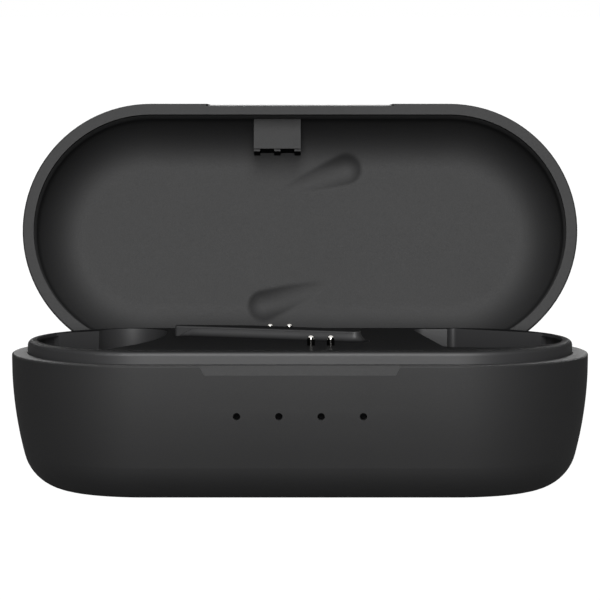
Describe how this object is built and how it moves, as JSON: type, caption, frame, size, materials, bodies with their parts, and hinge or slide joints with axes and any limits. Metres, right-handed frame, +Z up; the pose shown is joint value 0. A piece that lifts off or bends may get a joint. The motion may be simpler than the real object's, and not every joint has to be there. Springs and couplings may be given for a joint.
{
  "type": "wireless earbuds case",
  "caption": "Stadium-shaped charging case with a hinged lid, a raised inner tray with two sculpted cradles, a diagonal ridge, sprung contact pins and light holes in its front.",
  "frame": {"origin": "centre of the flat underside", "axes": "+X along the case, +Y towards the hinge, +Z up; the light holes face -Y"},
  "size_m": [0.08, 0.053, 0.0523],
  "materials": {
    "housing": "fine matt moulded plastic, dark grey",
    "tray": "satin moulded plastic, dark grey",
    "clear": "clear moulded light guide",
    "led": "clear domed light emitting diode",
    "board": "green solder mask",
    "chip": "black moulding compound",
    "ferrite": "grey ferrite",
    "ceramic_chip": "tan ceramic",
    "steel": "drawn steel",
    "black_plastic": "black moulding",
    "pouch": "aluminium laminate pouch",
    "foam": "black foam tape",
    "red_wire": "red insulation",
    "black_wire": "black insulation",
    "white_plastic": "white connector body",
    "brass": "turned brass",
    "contact": "polished plated contact",
    "magnet": "nickel plated magnet",
    "screw": "zinc plated steel"
  },
  "bodies": {
    "base": {"base_shell": "housing", "inner_tray": "tray", "light_guide": "clear", "led_chips": "led", "main_pcb": "board", "charge_chip": "chip", "control_chip": "chip", "power_inductor": "ferrite", "ceramic_capacitors": "ceramic_chip", "hall_sensor": "chip", "usb_shell": "steel", "usb_tongue": "black_plastic", "battery_cell": "pouch", "battery_pad": "foam", "battery_lead_plus": "red_wire", "battery_lead_minus": "black_wire", "battery_socket": "white_plastic", "pin_holder_front": "black_plastic", "pin_holder_rear": "black_plastic", "pin_barrels_front": "brass", "pin_barrels_rear": "brass", "closure_magnet": "magnet", "earbud_magnets": "magnet", "tray_screws": "screw", "hinge_bracket": "housing", "bracket_screws": "screw", "hinge_pin": "steel", "pin_spring_front_left": "steel", "pin_spring_front_right": "steel", "pin_spring_rear_left": "steel", "pin_spring_rear_right": "steel"},
    "lid": {"lid_shell": "housing", "lid_liner": "housing", "magnet_cover": "tray", "lid_magnet": "magnet"},
    "pin_front_left": {"pin_plunger_front_left": "contact"},
    "pin_front_right": {"pin_plunger_front_right": "contact"},
    "pin_rear_left": {"pin_plunger_rear_left": "contact"},
    "pin_rear_right": {"pin_plunger_rear_right": "contact"}
  },
  "joints": [
    {"name": "lid_hinge", "type": "hinge", "parent": "base", "child": "lid", "pos_m": [0, 0.0174, 0.01745], "axis": [1, 0, 0], "range_deg": [0, 101]},
    {"name": "pin_front_left_slide", "type": "slide", "parent": "base", "child": "pin_front_left", "axis": [0, 0, -1], "range_m": [0, 0.001], "stiffness_N_per_m": 400, "springref_m": -0.0005, "deforming": ["pin_spring_front_left"]},
    {"name": "pin_front_right_slide", "type": "slide", "parent": "base", "child": "pin_front_right", "axis": [0, 0, -1], "range_m": [0, 0.001], "stiffness_N_per_m": 400, "springref_m": -0.0005, "deforming": ["pin_spring_front_right"]},
    {"name": "pin_rear_left_slide", "type": "slide", "parent": "base", "child": "pin_rear_left", "axis": [0, 0, -1], "range_m": [0, 0.001], "stiffness_N_per_m": 400, "springref_m": -0.0005, "deforming": ["pin_spring_rear_left"]},
    {"name": "pin_rear_right_slide", "type": "slide", "parent": "base", "child": "pin_rear_right", "axis": [0, 0, -1], "range_m": [0, 0.001], "stiffness_N_per_m": 400, "springref_m": -0.0005, "deforming": ["pin_spring_rear_right"]}
  ]
}
